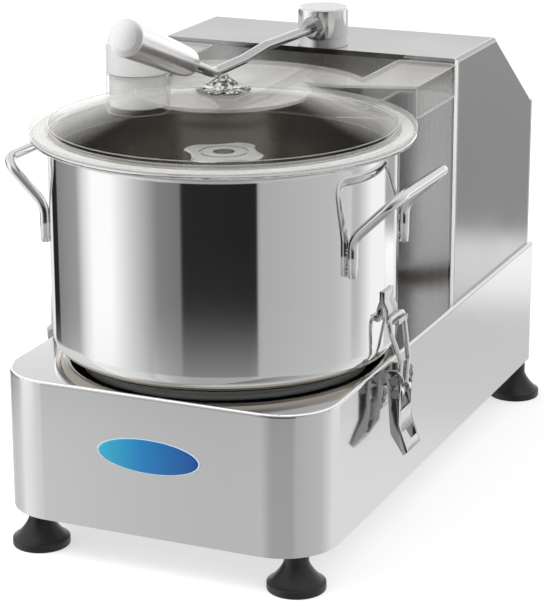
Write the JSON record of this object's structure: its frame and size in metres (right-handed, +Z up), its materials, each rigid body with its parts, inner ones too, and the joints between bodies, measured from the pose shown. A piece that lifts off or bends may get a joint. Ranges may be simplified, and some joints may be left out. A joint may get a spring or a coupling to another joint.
{
  "type": "meat bowl cutter",
  "caption": "Bench-top bowl cutter: round bowl with knives on an upright spindle, clear lid with feed tube, swing-over locking arm, side latches and a drive tower behind.",
  "frame": {"origin": "on the floor under the middle of the machine's bounding box", "axes": "+X to the machine's right side, +Y to its back, +Z up"},
  "size_m": [0.333, 0.566, 0.4279],
  "materials": {
    "satin_stainless": "satin",
    "bright_stainless": "polished",
    "blade_steel": "ground",
    "machined_steel": "machined",
    "grip_metal": "satin",
    "cast_aluminium": "as cast",
    "black_rubber": "matt",
    "clear_plastic": "clear",
    "white_plastic": "smooth",
    "grey_plastic": "matt",
    "black_plastic": "matt",
    "badge_blue": "gloss",
    "button_green": "gloss",
    "button_red": "gloss",
    "grey_paint": "painted",
    "lamination_steel": "varnished",
    "board_green": "matt"
  },
  "bodies": {
    "machine": {"base_housing": "satin_stainless", "base_bottom_plate": "satin_stainless", "tower_shell": "satin_stainless", "tower_front_panel": "satin_stainless", "tower_rear_cover": "satin_stainless", "panel_screws": "machined_steel", "rubber_feet": "black_rubber", "foot_screws": "machined_steel", "badge": "badge_blue", "cable_gland": "black_plastic", "switch_panel": "black_plastic", "switch_contacts": "grey_plastic", "bowl": "bright_stainless", "bowl_seat_ring": "white_plastic", "bowl_handles": "bright_stainless", "bowl_hooks": "bright_stainless", "latch_brackets": "bright_stainless", "latch_pivot_pins": "machined_steel", "lid": "clear_plastic", "lid_centring_ring": "clear_plastic", "lid_gasket": "white_plastic", "lid_button": "clear_plastic", "arm_bushing": "bright_stainless", "bearing_housing": "cast_aluminium", "bearings": "machined_steel", "shaft_seal": "black_rubber", "drive_belt": "black_rubber", "motor_mount_plate": "machined_steel", "motor_housing": "grey_paint", "motor_stator": "lamination_steel", "motor_end_shields": "grey_paint", "circuit_board": "board_green", "run_capacitor": "white_plastic", "lid_switch": "grey_plastic"},
    "lock_arm": {"arm_post": "machined_steel", "arm_cap": "bright_stainless", "arm_rod": "bright_stainless", "arm_nut": "bright_stainless", "arm_washer": "bright_stainless", "arm_grip": "grip_metal"},
    "stopper": {"feed_stopper": "white_plastic"},
    "motor_drive": {"motor_shaft": "machined_steel", "motor_rotor": "lamination_steel", "motor_pulley": "cast_aluminium", "cooling_fan": "black_plastic"},
    "knife_rotor": {"spindle": "machined_steel", "driven_pulley": "cast_aluminium", "blade_hub": "white_plastic", "lower_blade": "blade_steel", "upper_blade": "blade_steel", "blade_spacers": "white_plastic", "star_knob": "white_plastic"},
    "lever_right": {"latch_lever_right": "bright_stainless", "bail_pin_right": "machined_steel"},
    "lever_left": {"latch_lever_left": "bright_stainless", "bail_pin_left": "machined_steel"},
    "bail_loop_right": {"bail_right": "bright_stainless"},
    "bail_loop_left": {"bail_left": "bright_stainless"},
    "start_plunger": {"start_button": "button_green"},
    "stop_plunger": {"stop_button": "button_red"}
  },
  "joints": [
    {"name": "lock_arm_swing", "type": "hinge", "parent": "machine", "child": "lock_arm", "pos_m": [0, 0.08184, 0.364], "axis": [0, 0, 1], "range_deg": [0, 110]},
    {"name": "stopper_lift", "type": "slide", "parent": "machine", "child": "stopper", "axis": [0, 0, 1], "range_m": [0, 0.06]},
    {"name": "motor_spin", "type": "hinge", "parent": "machine", "child": "motor_drive", "pos_m": [0, 0.15684, 0.15], "axis": [0, 0, 1], "continuous": true},
    {"name": "knife_spin", "type": "hinge", "parent": "machine", "child": "knife_rotor", "pos_m": [0, -0.11816, 0.15], "axis": [0, 0, 1], "continuous": true},
    {"name": "latch_right_open", "type": "hinge", "parent": "machine", "child": "lever_right", "pos_m": [0.1473, -0.11816, 0.1371], "axis": [0, -1, 0], "range_deg": [0, 95]},
    {"name": "bail_right_tilt", "type": "hinge", "parent": "lever_right", "child": "bail_loop_right", "pos_m": [0.1483, -0.11816, 0.1264], "axis": [0, -1, 0], "range_deg": [-85.5, 0]},
    {"name": "latch_left_open", "type": "hinge", "parent": "machine", "child": "lever_left", "pos_m": [-0.1473, -0.11816, 0.1371], "axis": [0, 1, 0], "range_deg": [0, 95]},
    {"name": "bail_left_tilt", "type": "hinge", "parent": "lever_left", "child": "bail_loop_left", "pos_m": [-0.1483, -0.11816, 0.1264], "axis": [0, 1, 0], "range_deg": [-85.5, 0]},
    {"name": "start_press", "type": "slide", "parent": "machine", "child": "start_plunger", "axis": [1, 0, 0], "range_m": [0, 0.003], "stiffness_N_per_m": 400, "springref_m": -0.003},
    {"name": "stop_press", "type": "slide", "parent": "machine", "child": "stop_plunger", "axis": [1, 0, 0], "range_m": [0, 0.003], "stiffness_N_per_m": 400, "springref_m": -0.003}
  ],
  "couplings": [
    {"joint": "knife_spin", "follows": "motor_spin", "ratio": 0.75},
    {"joint": "bail_right_tilt", "follows": "latch_right_open", "ratio": -0.9},
    {"joint": "bail_left_tilt", "follows": "latch_left_open", "ratio": -0.9}
  ]
}
